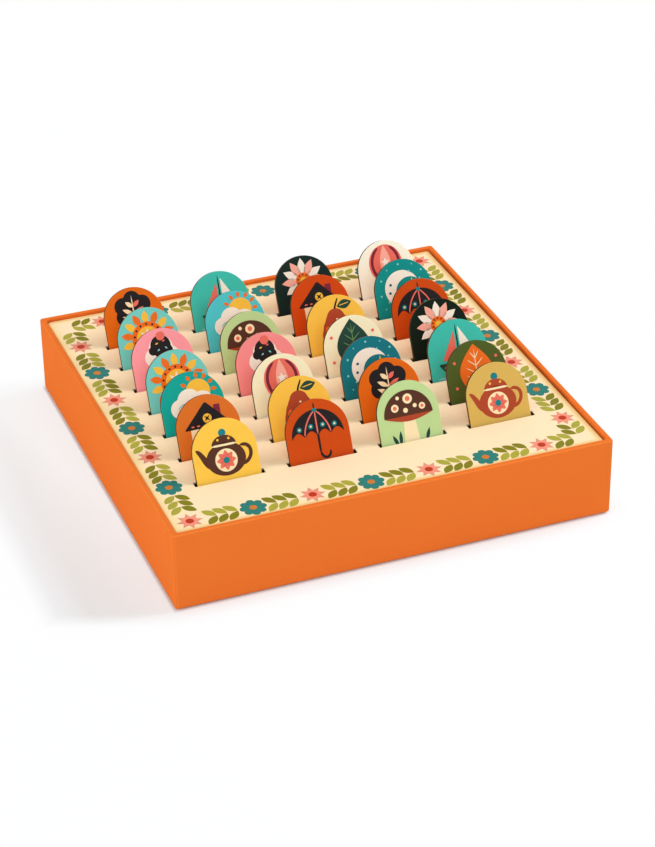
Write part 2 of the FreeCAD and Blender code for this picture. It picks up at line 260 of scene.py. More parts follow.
def linear(colour):
    """An 8-bit screen colour as linear light, with alpha 1."""
    c = np.clip(np.array(colour) / 255.0, 0, 1)
    c = np.where(c <= 0.04045, c / 12.92, ((c + 0.055) / 1.055) ** 2.4)
    return (*c.tolist(), 1.0)


def shade(colour, factor):
    """A colour made darker or lighter."""
    return tuple(part * factor for part in colour)


class Value:
    """A socket's number. Sums and products of it add Math nodes."""

    def __init__(self, tree, socket):
        self.tree, self.socket = tree, socket

    def output(self, name):
        """Another output of the same node."""
        return Value(self.tree, self.socket.node.outputs[name])

    def math(self, operation, *values):
        return self.tree.node("ShaderNodeMath", {"operation": operation}, dict(enumerate(values)))

    def __add__(self, other):
        return self.math("ADD", self, other)

    def __sub__(self, other):
        return self.math("SUBTRACT", self, other)

    def __mul__(self, other):
        return self.math("MULTIPLY", self, other)

    __radd__, __rmul__ = __add__, __mul__

    def __rsub__(self, other):
        return self.math("SUBTRACT", other, self)

    def above(self, edge, soft):
        """0 under the edge and 1 over it, with a ramp as wide as soft."""
        ramp = (self - edge) * (1.0 / soft) + 0.5
        return self.tree.node("ShaderNodeClamp", {}, {0: ramp})

    def size(self):
        return self.math("ABSOLUTE", self)

    def root(self):
        return self.math("SQRT", self)

    def larger(self, other):
        return self.math("MAXIMUM", self, other)

    def off_middle(self, period):
        """How far it is from the middle of its period."""
        return self.math("FRACT", self * (1.0 / period)) * period - 0.5 * period


class Tree:
    """The node tree of a material or of the world, empty at first."""

    def __init__(self, node_tree):
        self.nodes, self.links = node_tree.nodes, node_tree.links
        self.nodes.clear()

    def node(self, kind, settings=None, sockets=None, out=0):
        """Any node: its settings first, then the values or links of its sockets. Returns one of
        its outputs, or nothing where it has none."""
        made = self.nodes.new(kind)
        for key, value in (settings or {}).items():
            setattr(made, key, value)
        for key, value in (sockets or {}).items():
            if isinstance(value, Value):
                self.links.new(value.socket, made.inputs[key])
            else:
                made.inputs[key].default_value = value
        return Value(self, made.outputs[out]) if len(made.outputs) else None

    def looked_at(self):
        """1 for the camera's rays and those in gloss and through glass, and 0 for other light."""
        rays = self.node("ShaderNodeLightPath", out="Is Camera Ray")
        return rays.larger(rays.output("Is Glossy Ray")).larger(rays.output("Is Transmission Ray"))


class Finish(Tree):
    """A material, read at the place on the object."""

    def __init__(self, name):
        self.material = bpy.data.materials.new(name)
        self.material.use_nodes = True
        super().__init__(self.material.node_tree)
        self.place = self.node("ShaderNodeTexCoord", out="Object")

    def noise(self, patch_mm, detail=3.0, place=None):
        """Noise whose patches are about patch_mm across."""
        return self.node("ShaderNodeTexNoise", {}, {"Vector": place or self.place, "Detail": detail,
                                                    "Scale": 1.0 / (patch_mm * MM), "Roughness": 0.55})

    def mix(self, factor, first, second):
        """A colour between two colours."""
        return self.node("ShaderNodeMix", {"data_type": "RGBA"}, {0: factor, 6: first, 7: second}, 2)

    def tones(self, factor, colour, low, high):
        """A screen colour that runs from low times itself to high times itself."""
        return self.mix(factor, linear(shade(colour, low)), linear(shade(colour, high)))

    def axis(self, letter, vector=None):
        """One coordinate of the place on the object, in metres."""
        return self.node("ShaderNodeSeparateXYZ", {}, {0: vector or self.place}, letter)

    def shown(self, shader):
        """The material, with its shader linked to the output."""
        self.node("ShaderNodeOutputMaterial", {}, {"Surface": shader})
        return self.material

    def surface(self, colour, roughness, height, depth_mm, specular=0.1):
        """The finished material, with a bump at half strength, depth_mm deep where the height
        goes from 0 to 1."""
        bump = self.node("ShaderNodeBump", {}, {
            "Strength": 0.5, "Distance": depth_mm * MM, "Height": height})
        return self.shown(self.node("ShaderNodeBsdfPrincipled", {}, {
            "Base Color": colour, "Roughness": roughness, "Normal": bump, "Specular IOR Level": specular}))


def print_on_paper(name, colour, spread, patch_mm):
    """A printed colour: slow clouds and fine fibre grain in its tone, and the paper's tooth."""
    f = Finish(name)
    grain = f.noise(0.3, 4.0)
    tone = f.noise(patch_mm, 2.0) * 0.6 + grain * 0.4
    colours = f.tones(tone, colour, 1 - spread, 1 + spread)
    return f.surface(colours, grain * 0.12 + 0.44, grain, 0.012)


def wrapping_paper(name, colour):
    """The box's matt orange paper. Along its folds and in its corners it has painted shade, a little
    darker, as a point attribute says, and the outer edge of the rim has a painted highlight, a
    little lighter: within 0.6 mm of the box's side and above a height of 39.5 mm."""
    f = Finish(name)
    grain = f.noise(0.35, 4.0)
    tone = f.noise(28.0, 2.0) * 0.5 + grain * 0.5
    colours = f.tones(tone, colour, 0.975, 1.02)
    # Painted shade: darker along the folds and in the middle of each corner
    fold_line_shade = f.node("ShaderNodeAttribute", {"attribute_name": "fold_line_shade"}, {}, "Fac")
    colours = f.mix(fold_line_shade * 0.7, colours, linear(shade(colour, 0.74)))
    x, y, z = f.axis("X").size(), f.axis("Y").size(), f.axis("Z")
    # Painted highlight: lighter along the outer edge of the rim, patchy by noise
    rim = x.larger(y).above((BOX_HALF - 0.6) * MM, 0.0007) * z.above(0.0395, 0.0006)
    rim_highlight = rim * (f.noise(3.0, 3.0) * 0.4 + 0.05)
    colours = f.mix(rim_highlight, colours, linear((255, 150, 76)))
    return f.surface(colours, grain * 0.12 + 0.6, grain, 0.015, 0.005)


def greyboard(name, dark, light, layered=False):
    """Brown-grey pulp board with light and dark fibres. In a tile's cut edge the fibres lie
    in layers, so the noise is turned by the lean and squeezed across the board."""
    f = Finish(name)
    place = f.place
    if layered:
        turned = f.node("ShaderNodeMapping", {}, {"Vector": place, "Rotation": (LEAN, 0.0, 0.0)})
        place = f.node("ShaderNodeMapping", {}, {"Vector": turned, "Scale": (1.0, 11.0, 1.0)})
    fibre = f.noise(1.1, 5.0, place)
    fleck = f.noise(0.5, 2.0).above(0.64, 0.05)
    colours = f.mix(fibre.above(0.5, 0.5), linear(dark), linear(light))
    colours = f.mix(fleck * 0.5, colours, linear(shade(dark, 0.75)))
    return f.surface(colours, fibre * 0.1 + 0.8, fibre, 0.05, 0.15)


def raw_card(name, colour, patch_mm=0.6):
    """Unprinted card or paper with loose fibres."""
    f = Finish(name)
    fibre = f.noise(patch_mm, 5.0)
    colours = f.tones(fibre.above(0.5, 0.6), colour, 0.93, 1.03)
    return f.surface(colours, fibre * 0.1 + 0.72, fibre, 0.03, 0.2)


def deck_card(name, printed, edge_shade_yellow, fold_shade_tan, raw):
    """Printed on the top and the outside of the skirts, with painted shade towards the fold between
    them, yellower and then tan on it, less so on the left, and raw on the slots' cut edges and the
    underside: printed where it lies at the deck's full height or in the outermost 4 mm."""
    f = Finish(name)
    grain = f.noise(0.3, 4.0)
    tone = f.noise(18.0, 2.0) * 0.6 + grain * 0.4
    x, y = f.axis("X"), f.axis("Y")
    out = x.size().larger(y.size())
    inked = f.axis("Z").above(DECK_TOP * MM - 0.00006, 0.00004).larger(out.above(0.1030, 0.0002))
    top = f.tones(tone, printed, 0.985, 1.012)
    # Painted shade: yellower towards the deck's edge
    top = f.mix(out.above(0.1040, 0.005), top, linear(edge_shade_yellow))
    # Painted shade: tan on the fold, in a narrow band on the left and a wider one on the other sides
    left = (0.0 - x).above(0.1062, 0.0012)
    others = x.larger(y.size()).above(0.1050, 0.0036)
    top = f.mix((left * 0.6).larger(others * 0.95), top, linear(fold_shade_tan))
    colours = f.mix(inked, f.tones(grain, raw, 0.9, 1.0), top)
    return f.surface(colours, 0.66 - inked * 0.14, grain, 0.015)


def dotted_back(name, ground, dot):
    """The tiles' backs: staggered dots. The lattice fits the pitch of columns and rows a whole
    number of times, so it sits alike on every tile. Up the tile is y sin(lean) + z cos(lean)."""
    f = Finish(name)
    column_step, row_step = COLUMN_PITCH * MM / 12, ROW_PITCH * math.sin(LEAN) * MM / 3
    across = f.axis("X")
    up = f.axis("Y") * math.sin(LEAN) + f.axis("Z") * math.cos(LEAN)

    def spots(shift):
        """1 within 0.62 mm of a dot's middle, in a lattice moved by half a step or not at all."""
        a = (across + 0.5 * shift * column_step).off_middle(column_step)
        b = (up + 0.5 * shift * row_step).off_middle(row_step)
        return 1.0 - (a * a + b * b).root().above(0.00062, 0.00012)

    grain = f.noise(0.3, 4.0)
    paper = f.tones(grain, ground, 0.97, 1.02)
    colours = f.mix(spots(0).larger(spots(1)), paper, linear(dot))
    return f.surface(colours, grain * 0.12 + 0.46, grain, 0.012)


# Pictures. Each is a list of layers, each layer a list of (outline, ink). Their origin is the
# centre of a tile's round top, x to the right and y up, in millimetres.

def sun():
    """Rays, two discs, a ring of dots, and a star with a round middle."""
    rays = spokes(14, 7.0, 14.0, 3.6, y=0.4)
    return [[(ray, ("yellow", "orange")[i % 2]) for i, ray in enumerate(rays)],
            [(disc(0, 0.4, 8.4), "orange")],
            [(disc(0, 0.4, 5.9), "yellow")]
            + [(spot, "dark") for spot in dots(ring_of(14, 7.1, y=0.4), 0.55)],
            [(star(0, 0.4, 8, 5.0, 2.6), "white")],
            [(disc(0, 0.4, 1.7), "coral")]]


def tree():
    """A trunk with a twig, a crown of six discs, and a cream stem with leaves on the crown."""
    crown = cluster(0, 4.4, [(0, 5.2, 4.4), (4.9, 2.2, 4.6), (5.0, -3.2, 4.3), (0, -3.8, 5.0),
                             (-5.0, -3.2, 4.3), (-4.9, 2.2, 4.6)])
    leaves = [lens(0, y, side * reach, y + 3.2, 2.2)
              for y, reach in ((-1.6, 6.0), (2.0, 5.6), (5.6, 3.6)) for side in (-1, 1)]
    return [[(stroke(0, -14.5, 0, -1.0, 3.0, 2.2), "dark"), (lens(0.6, -9.8, 6.6, -6.0, 2.4), "dark")],
            [(crown, "dark")],
            [(stroke(0, -6.0, 0, 11.6, 1.0, 0.4), "cream")],
            [(one, ("cream", "coral")[i % 2]) for i, one in enumerate(leaves)]]


def umbrella():
    """A pole with a hook, a scalloped dome with three ribs, and a dot on each panel."""
    panels = [(-8.8, 2.6), (-3.0, 3.2), (3.0, 3.2), (8.8, 2.6)]
    return [[(stroke(0, 9.0, 0, 14.2, 1.2, 0.5), "dark"),
             (ribbon([(0, 2), (0, -3), (0, -6), (0, -9.6)], 1.1), "dark"),
             (ribbon([(0, -9.0), (0.2, -13.4), (5.0, -13.4), (4.9, -9.2)], 1.2), "dark")],
            [(dome(0, -1.6, 13.0, 12.6, 4, 2.6), "dark")],
            [(ribbon([(0, 10.6), (-3.4, 8.0), (-6.2, 3.4), (-6.5, -1.0)], 0.7), "coral"),
             (ribbon([(0, 10.6), (3.4, 8.0), (6.2, 3.4), (6.5, -1.0)], 0.7), "coral"),
             (stroke(0, 10.6, 0, -1.0, 0.7), "coral")]
            + [(spot, "teal") for spot in dots(panels, 1.25, 20)],
            [(spot, "cream") for spot in dots(panels, 0.5)] + [(disc(0, 10.6, 1.1), "teal")]]


def pear():
    """A body of four discs, a stalk, a leaf, a light streak and five specks."""
    specks = [(2.6, -1.0), (5.0, -4.4), (2.0, -6.0), (4.4, 2.0), (0.6, 3.4)]
    body = cluster(0, -1.0, [(0, -3.6, 8.3), (0, -0.6, 7.4), (0, 2.6, 5.9), (0, 5.2, 4.7)])
    return [[(ribbon([(0, 7.0), (0, 10.0), (1.6, 11.6), (2.4, 14.0)], 1.1, 0.7), "dark"),
             (lens(1.4, 9.6, 9.6, 11.0, 4.6), "pine")],
            [(body, "rust")],
            [(ribbon([(-4.6, 0.6), (-6.2, -2.4), (-6.2, -6.0), (-4.0, -8.6)], 2.0, 1.2), "orange"),
             (stroke(2.6, 9.9, 8.0, 10.8, 0.45), "yellow")],
            [(spot, "cream") for spot in dots(specks, 0.5)]]


def balloon():
    """An ellipse with a pale middle gore and two dark seams, a star, a knot and a string."""
    return [[(ribbon([(0, -6.0), (2.4, -9.0), (-2.2, -11.6), (0.6, -16.0)], 0.6), "dark"),
             (rounded([(-1.7, -7.8), (1.7, -7.8), (0, -4.8)], 0.5), "plum")],
            [(disc(0, 3.6, 9.2, 10.0), "coral")],
            [(lens(0, 13.5, 0, -6.2, 6.0), "blush"),
             (ribbon([(-3.0, 12.4), (-9.2, 8.0), (-8.8, -1.0), (-2.6, -5.6)], 1.5), "plum"),
             (ribbon([(3.0, 12.4), (9.2, 8.0), (8.8, -1.0), (2.6, -5.6)], 1.5), "plum")],
            [(star(0, 4.2, 5, 2.6, 1.15), "white")]]


def ice_cream():
    """A cone with crossed bars, a scoop, a sauce, a cherry and four sprinkles."""
    scoop = cluster(0, 3.0, [(-3.9, -1.2, 4.9), (3.9, -1.2, 4.9), (0, 2.8, 6.2)])
    sauce = cluster(0, 6.6, [(0, 0.6, 5.2), (-4.2, -1.4, 2.2), (-1.0, -2.6, 2.6), (3.4, -2.0, 2.5)])
    lattice = [stroke(x, -1.4, x + side * 5.0, -8.6, 0.5) for side in (-1, 1) for x in (-3.6 * side, 0.0)]
    sprinkles = [(-2.6, 8.2, 1.6, 0.6, "yellow"), (2.0, 6.4, 1.2, -1.2, "aqua"),
                 (-0.6, 5.6, -1.4, -0.8, "aqua"), (1.0, 9.2, 1.6, 0.4, "coral")]
    return [[(rounded([(-6.6, 0.4), (6.6, 0.4), (0, -15.0)], 1.2), "rust")],
            [(scoop, "white")] + [(bar, "brown") for bar in lattice[:2]],
            [(sauce, "dark")] + [(bar, "brown") for bar in lattice[2:]],
            [(disc(0.6, 12.0, 2.2), "coral")]
            + [(lens(x, y, x + dx, y + dy, 0.8), ink) for x, y, dx, dy, ink in sprinkles]]


def moon():
    """A crescent with three dark dots, two stars, and a sky of dots in two sizes by turns."""
    sky = [(-11.5, 6.2), (-7.6, 11.2), (-1.0, 13.4), (6.4, 12.4), (11.0, 8.6), (13.0, 2.6), (12.0, -4.6),
           (8.0, -9.6), (-12.6, -1.6), (-11.2, -8.6), (-5.0, -12.4), (2.4, -12.2), (4.2, 9.0), (9.6, 4.6),
           (-8.8, -5.2)]
    return [[(crescent(-0.6, 0.6, 9.6, 4.6, 7.8, -28.0), "white")]
            + [(spot, "aqua") for spot in dots(sky[::2], 0.55) + dots(sky[1::2], 0.38)],
            [(star(5.2, 2.4, 4, 3.2, 0.9), "yellow"), (star(2.2, -3.4, 4, 2.0, 0.6), "aqua")],
            [(spot, "petrol") for spot in dots([(-6.8, 3.4), (-7.6, -0.8), (-5.4, -4.6)], 0.7)]]


def mushroom():
    """A stalk, three blades of grass, the gills, and a domed cap with six spots."""
    grass = [(-7, -2.6, -9), (-6, 0.6, -7.6), (7, 2.4, -8.4)]
    spots = [(-6.4, 3.4, 1.9), (0.6, 7.0, 2.4), (7.4, 2.4, 1.6), (-1.2, 1.6, 1.2), (3.8, 3.2, 1.0),
             (-4.4, 8.0, 0.9)]
    return [[(rounded([(-4.0, -14.5), (4.0, -14.5), (2.6, 0), (-2.6, 0)], 1.0), "cream")]
            + [(lens(x, -15.0, x + dx, y, 1.8), "pine") for x, dx, y in grass],
            [(lens(-12.0, -1.2, 12.0, -1.2, 5.2), "rust")],
            [(dome(0, -1.0, 12.4, 12.2), "brown")],
            [(disc(x, y, r), "cream") for x, y, r in spots],
            [(disc(x, y, 0.5 * r, count=16), "coral") for x, y, r in spots[:3]]]


def sailboat():
    """A mast, a hull with a cream stripe, two sails with bars, and four small waves."""
    return [[(stroke(0.4, -6.0, 0.4, 13.6, 0.9, 0.6), "dark"),
             (rounded([(-11.4, -5.2), (11.6, -5.2), (7.6, -10.2), (-7.6, -10.2)], 1.4), "pine")]
            + [(lens(x, -12.4 - 0.9 * (i % 2), x + 6.0, -12.4 - 0.9 * (i % 2), 1.3), "aqua")
               for i, x in enumerate((-13.0, -6.4, 0.4, 7.0))],
            [(rounded([(1.6, 12.4), (1.6, -3.8), (10.6, -3.8)], 0.9), "white"),
             (rounded([(-0.8, 10.4), (-0.8, -3.8), (-8.6, -3.8)], 0.9), "coral"),
             (stroke(-8.6, -7.2, 8.6, -7.2, 0.8), "cream")],
            [(stroke(2.6, 1.2, 6.8, 1.2, 1.0), "orange"),
             (stroke(2.6, -1.6, 8.4, -1.6, 1.0), "orange")]]


def daisy():
    """A stalk with two leaves, twelve petals, and a disc with a ring of dots and a yellow eye."""
    petals = spokes(12, 1.6, 11.8, 4.2, y=2.8)
    return [[(ribbon([(0, -2), (-0.6, -6), (0.8, -10), (0, -15)], 1.2), "sage"),
             (lens(0, -10.4, -7.6, -5.6, 3.4), "sage"), (lens(0.4, -12.0, 7.8, -7.2, 3.4), "sage")],
            [(petal, ("white", "blush")[i % 2]) for i, petal in enumerate(petals)],
            [(disc(0, 2.8, 4.2), "orange")],
            [(spot, "dark") for spot in dots(ring_of(10, 3.1, y=2.8), 0.42)]
            + [(disc(0, 2.8, 1.8), "yellow")]]


def house():
    """A chimney, a wall with a door and two windows, a roof with four tiles, and a round light."""
    return [[(rounded([(3.8, 2), (7.0, 2), (7.0, 10.4), (3.8, 10.4)], 0.4), "plum"),
             (rounded([(-8.8, -13.6), (8.8, -13.6), (8.8, 1.4), (-8.8, 1.4)], 0.6), "cream")],
            [(rounded([(-12.0, 0.2), (12.0, 0.2), (0, 12.6)], 1.2), "dark")],
            [(disc(0, 4.6, 2.2), "yellow"),
             (rounded([(-2.0, -13.0), (2.2, -13.0), (2.2, -5.6), (-2.0, -5.6)], 1.3), "teal"),
             (rounded([(-6.8, -4.6), (-3.6, -4.6), (-3.6, -8.0), (-6.8, -8.0)], 0.4), "rust"),
             (rounded([(3.8, -4.6), (7.0, -4.6), (7.0, -8.0), (3.8, -8.0)], 0.4), "rust")]
            + [(stroke(x, 1.6, x + 1.6, 1.6, 0.7), "coral") for x in (-8.4, -5.6, 3.8, 6.6)],
            [(star(0, 4.6, 4, 1.9, 0.6, 45.0), "dark"), (disc(1.4, -9.6, 0.4, count=12), "dark")]]


def teapot(clay):
    """A handle, a spout, a round body with a flower in a cream disc, and a lid with a knob."""
    return [[(ribbon([(7.2, 1.6), (14.4, 3.4), (14.0, -7.4), (6.4, -7.2)], 1.7), clay),
             (ribbon([(-5.2, -5.6), (-10.4, -6.2), (-10.2, 0.4), (-14.0, 3.0)], 4.2, 1.6), clay),
             (disc(0, 9.0, 1.8, count=20), "teal")],
            [(disc(0, -3.4, 9.6, 7.8, count=48), clay), (dome(0, 3.0, 6.0, 4.8), clay)],
            [(stroke(-6.4, 3.2, 6.4, 3.2, 1.0), "cream"), (disc(0, -4.0, 5.4), "cream")],
            [(petal, "coral") for petal in spokes(8, 0.6, 4.8, 2.4, y=-4.0)]
            + [(spot, "yellow") for spot in dots(ring_of(5, 4.6, y=2.2, first=54.0)[:2], 0.6)],
            [(disc(0, -4.0, 1.5, count=20), "teal")]]


def cloud():
    """A sun with rays behind a cloud of five discs, two curls on it and five drops under it."""
    puff = cluster(0, -0.6, [(-6.6, -0.6, 4.6), (-1.6, 2.6, 5.8), (5.0, 1.2, 5.2), (8.2, -1.2, 3.6),
                             (0, -1.4, 3.8)])
    return [[(ray, "orange") for ray in spokes(12, 6.2, 9.4, 1.9, 3.6, 5.8)],
            [(disc(3.6, 5.8, 6.0), "yellow")],
            [(puff, "white")]
            + [(lens(x, -5.8 - 1.2 * (i % 2), x - 1.8, -11.0 - 1.2 * (i % 2), 1.9), "pine")
               for i, x in enumerate((-7.2, -3.0, 1.4, 5.6, 9.6))],
            [(ribbon([(-7.6, -1.4), (-5.4, 1.6), (-2.6, 1.2), (-1.4, -1.2)], 0.6), "aqua"),
             (ribbon([(1.4, 0.2), (3.4, 2.8), (6.2, 2.2), (7.4, -0.4)], 0.6), "aqua")]]


def leaf(blade, vein):
    """A pointed blade with a stalk, a middle vein, five pairs of side veins and four dots."""
    corners = [(-11.6, -6.0), (11.6, -6.0), (-11.0, 6.4), (11.0, 6.4)]
    pairs = [(-8.0, 3.8), (-4.2, 5.4), (-0.4, 5.2), (3.4, 4.0), (7.0, 2.2)]
    sides = [stroke(0, y, side * reach, y + 3.4, 0.55, 0.3) for y, reach in pairs for side in (-1, 1)]
    return [[(lens(0, -13.6, 0, 14.2, 17.6, 16), blade), (stroke(0, -16.0, 0, -11.0, 1.1), blade)],
            [(stroke(0, -13.0, 0, 12.0, 0.8, 0.3), vein)],
            [(side, vein) for side in sides],
            [(spot, "coral") for spot in dots(corners, 0.8, 16)]]


# Screen colours of the inks and of the tiles' grounds. A 2 marks a second tone of a ground, in
# the same slot as the first.
INKS = {
    "dark": (32, 28, 30), "brown": (84, 48, 34), "rust": (172, 70, 42), "coral": (232, 112, 96),
    "blush": (246, 176, 158), "white": (246, 240, 226), "cream": (250, 228, 182), "yellow": (246, 194, 66),
    "orange": (234, 112, 32), "teal": (24, 126, 132), "aqua": (126, 210, 212), "sage": (104, 150, 96),
    "pine": (34, 70, 60), "plum": (122, 40, 58), "petrol": (25, 95, 125)}

GROUNDS = {
    "orange": (224, 105, 14), "orange_brown": (218, 115, 38), "red_orange": (202, 73, 8),
    "red": (209, 72, 8), "yellow": (252, 199, 74), "tan_yellow": (215, 176, 88),
    "pink": (253, 158, 167), "pink2": (249, 145, 145), "cream": (247, 244, 207), "cream2": (251, 253, 231),
    "light_green": (189, 215, 148), "olive": (76, 93, 36), "dark_green": (16, 40, 35),
    "black_green": (6, 25, 12), "teal_green": (12, 167, 156), "turquoise": (62, 193, 177),
    "aqua": (114, 208, 200), "sky": (78, 200, 208), "petrol": (18, 118, 131), "petrol2": (10, 142, 138)}

# Inks of the garland: the screen colour, the share by which its tone wanders, and how wide the
# clouds in it are, in millimetres
GARLAND_INKS = {
    "leaf_light": ((170, 164, 58), 0.06, 3.0),
    "leaf_dark": ((128, 123, 18), 0.06, 3.0),
    "petal_pink": ((218, 150, 126), 0.04, 3.0),
    "petal_coral": ((242, 146, 122), 0.04, 3.0),
    "petal_teal": ((40, 122, 114), 0.05, 3.0),
    "eye_red": ((186, 54, 24), 0.05, 2.0),
    "eye_orange": ((206, 120, 44), 0.05, 2.0)}

# For each column from the left: (ground, picture) from the back row to the front row
TILES = [
    [("orange", tree), ("aqua", sun), ("pink", ice_cream), ("aqua", sun), ("teal_green", cloud),
     ("orange_brown", house), ("yellow", lambda: teapot("brown"))],
    [("turquoise", sailboat), ("sky", cloud), ("light_green", mushroom), ("pink2", ice_cream),
     ("cream", balloon), ("yellow", pear), ("red_orange", umbrella)],
    [("dark_green", daisy), ("red", house), ("yellow", pear), ("cream", lambda: leaf("pine", "sage")),
     ("petrol", moon), ("orange", tree), ("light_green", mushroom)],
    [("cream2", balloon), ("petrol2", moon), ("red_orange", umbrella), ("black_green", daisy),
     ("turquoise", sailboat), ("olive", lambda: leaf("orange", "cream")),
     ("tan_yellow", lambda: teapot("rust"))]]


# Tiles

def tile_plane(node):
    """The map from a tile's own plane to the room: across the tile, up it from the centre of
    its round top, and out of its back. The tile's lower back edge is its lowest line."""
    low, high = box_mm(node)
    c, s = math.cos(LEAN), math.sin(LEAN)
    foot = np.array([(low[0] + high[0]) / 2, low[1] + TILE_BOARD * c, low[2]])

    def plane(across, up, out):
        up = np.asarray(up) + ARCH
        return foot + np.stack([across, up * s - out * c, up * c + out * s], -1)

    return plane


def tile_ring(inset):
    """The tile's outline moved inwards: a half circle on top, straight sides, two small foot
    arcs. The centres of the arcs stay, and only their radii shrink."""
    top = np.linspace(0, np.pi, 61)
    left = np.linspace(np.pi, 1.5 * np.pi, 7)
    right = np.linspace(1.5 * np.pi, 2 * np.pi, 7)
    r, foot = TILE_HALF - inset, FOOT_RADIUS - inset
    knee, low = TILE_HALF - FOOT_RADIUS, FOOT_RADIUS - ARCH
    arch = np.stack([r * np.cos(top), r * np.sin(top)], -1)
    return np.concatenate([arch,
                           np.stack([foot * np.cos(left) - knee, foot * np.sin(left) + low], -1),
                           np.stack([foot * np.cos(right) + knee, foot * np.sin(right) + low], -1)])


def make_tile(node, print_finish):
    """A punched board: the picture's edge is pressed down in a quarter round, the cut side
    shows the board's layers, and the back is eased a little."""
    plane = tile_plane(node)
    a = np.linspace(0, np.pi / 2, 6)
    inset = np.concatenate([[EASED + 0.1], EASED * (1 - np.sin(a[::2])), [0.0, 0.0],
                            PRESSED * (1 - np.cos(a)), [PRESSED + 0.1]])
    out = np.concatenate([[0.0], EASED * (1 - np.cos(a[::2])), [0.5, 1.3],
                          TILE_BOARD - PRESSED + PRESSED * np.sin(a), [TILE_BOARD]])
    rings = [tile_ring(d) for d in inset]
    points = np.concatenate([plane(*ring.T, w) for ring, w in zip(rings, out)])
    around = len(rings[0])
    faces = ring_faces(len(rings), around)
    front, cut, back = range(3)
    parts = np.full((len(rings) - 1, around), cut)
    parts[:2], parts[7:] = back, front
    index = parts.ravel().tolist() + [back, front]
    finishes = [print_finish, FINISHES["tile_edge"], FINISHES["tile_back"]]
    return put_mesh(node + "_board", points, faces, finishes, index, smooth=True)


def make_picture(node, layers):
    """The picture as thin ink films on the tile, one level for each layer."""
    inks = sorted({ink for layer in layers for _, ink in layer})
    shapes = [(outline, inks.index(ink), level)
              for level, layer in enumerate(layers, start=1) for outline, ink in layer]
    plane = tile_plane(node)
    points, faces, index = film(shapes, lambda x, y, out: plane(x, y, TILE_BOARD + out))
    return put_mesh(node + "_picture", points, faces, [FINISHES[ink] for ink in inks], index)


# Garland on the deck

def garland():
    """Flowers and sprigs along the border. From the flower at the front left corner a row runs
    along the front and one along the left side, and from the back right corner two more run
    along the back and the right. A pink star and a teal rosette take turns. Before each comes a
    sprig of three leaf pairs, and after the last one of two, that point on along the row."""
    t = np.linspace(0, 1, 11)
    leaf_edge = np.concatenate([bezier([(0, 0.1), (0.4, 3.6), (-1.6, 6.1), (-5.5, 6.0)], t),
                                bezier([(-5.5, 6.0), (-5.8, 2.6), (-3.7, 0.3), (0, 0.1)], t)[1:-1]])
    front_left, back_right = (-98.0, -98.8), (97.4, 97.0)
    rows = [(front_left, (1, 0), (0, 1), 29.0), (front_left, (0, 1), (-1, 0), 28.7),
            (back_right, (-1, 0), (0, -1), 29.4), (back_right, (0, -1), (1, 0), 29.3)]
    flowers = 7
    first_step, leaf_step, sprig_end, last_sprig = 30.5, 5.05, 7.5, 10.8
    shapes = {ink: [] for ink in GARLAND_INKS}
    for corner, way, left, step in rows:
        frame_of_row = np.array([way, left], float)
        for number in range(flowers):
            start = first_step + step * (number - 1) if number else 0.0
            following = first_step + step * number
            middle = np.array(corner) + start * frame_of_row[0]
            if number % 2:
                shapes["petal_teal"].append((rosette(*middle, 8, 6.5, 1.95), 0, 1))
                shapes["eye_orange"].append((disc(*middle, 1.8, count=24), 0, 2))
            elif number or way[0]:
                shapes["petal_pink"].append((star(*middle, 8, 6.4, 3.6), 0, 1))
                shapes["petal_coral"].append((star(*middle, 8, 4.5, 3.5), 0, 2))
                shapes["eye_red"].append((disc(*middle, 1.95, count=24), 0, 3))
            bases = following - sprig_end - leaf_step * np.arange(3)
            if number == flowers - 1:
                bases = start + last_sprig + leaf_step * np.arange(2)
            for reach in bases:
                for side in (1, -1):
                    blade = leaf_edge * np.array([1, side]) + np.array([reach, 0.0])
                    tone = "leaf_light" if (side > 0) == (number % 2 == 0) else "leaf_dark"
                    shapes[tone].append((np.array(corner) + blade @ frame_of_row, 0, 1))
    return shapes


def deck_plane(x, y, out):
    """The map from the deck's top to the room."""
    return np.stack([x, y, np.full(len(x), DECK_TOP + out)], -1)


def make_garland():
    """The garland as thin ink films on the deck, one mesh for each ink."""
    pieces = []
    for ink, outlines in garland().items():
        points, faces, index = film(outlines, deck_plane)
        pieces.append(put_mesh("garland_" + ink, points, faces, [FINISHES[ink]], index))
    return pieces


# The wrapped box

def wrap_ring(half, radius, fold):
    """A ring round the box: straight sides and round corners. Along a side the points lie at
    shares of the fold's width from each end and evenly between. Returns the points, how far
    each lies beyond the fold of a left or right side, and how much painted shade it takes: on
    the fold at the front end, hardly at the back end, and in the middle of each corner."""
    near = fold * np.array([0.0, 0.3, 0.6, 0.9, 0.94, 1.0, 1.06, 1.12])
    length = 2 * (half - radius)
    spots = np.concatenate([near, np.linspace(12.0, length - 12.0, 14), length - near[::-1]])
    flat = np.ones(len(spots))
    flat[:6] = flat[-6:] = 0.0
    flat[5] = flat[-6] = 0.5
    # Painted shade along the fold lines: full at the front end, a tenth of it at the back end
    line = np.zeros(len(spots))
    line[[5, 6]], line[[-7, -6]] = 1.0, 0.1
    a = np.linspace(0, np.pi / 2, 9)[1:-1]
    # Painted shade in the middle of each corner
    corner_line_shade = (np.abs(a - np.pi / 4) < 0.1) * 0.8
    side = np.stack([np.full(len(spots), half), spots - length / 2], -1)
    corner = np.stack([half - radius + radius * np.cos(a), half - radius + radius * np.sin(a)], -1)
    points, beyond, fold_line_shading = [], [], []
    for quarter in range(4):
        points += [swing(side, 90.0 * quarter), swing(corner, 90.0 * quarter)]
        on_left_or_right = 1.0 - quarter % 2
        beyond += [flat * on_left_or_right, np.zeros(len(a))]
        fold_line_shading += [(line if quarter == 0 else line[::-1]) * on_left_or_right, corner_line_shade]
    return np.concatenate(points), np.concatenate(beyond), np.concatenate(fold_line_shading)


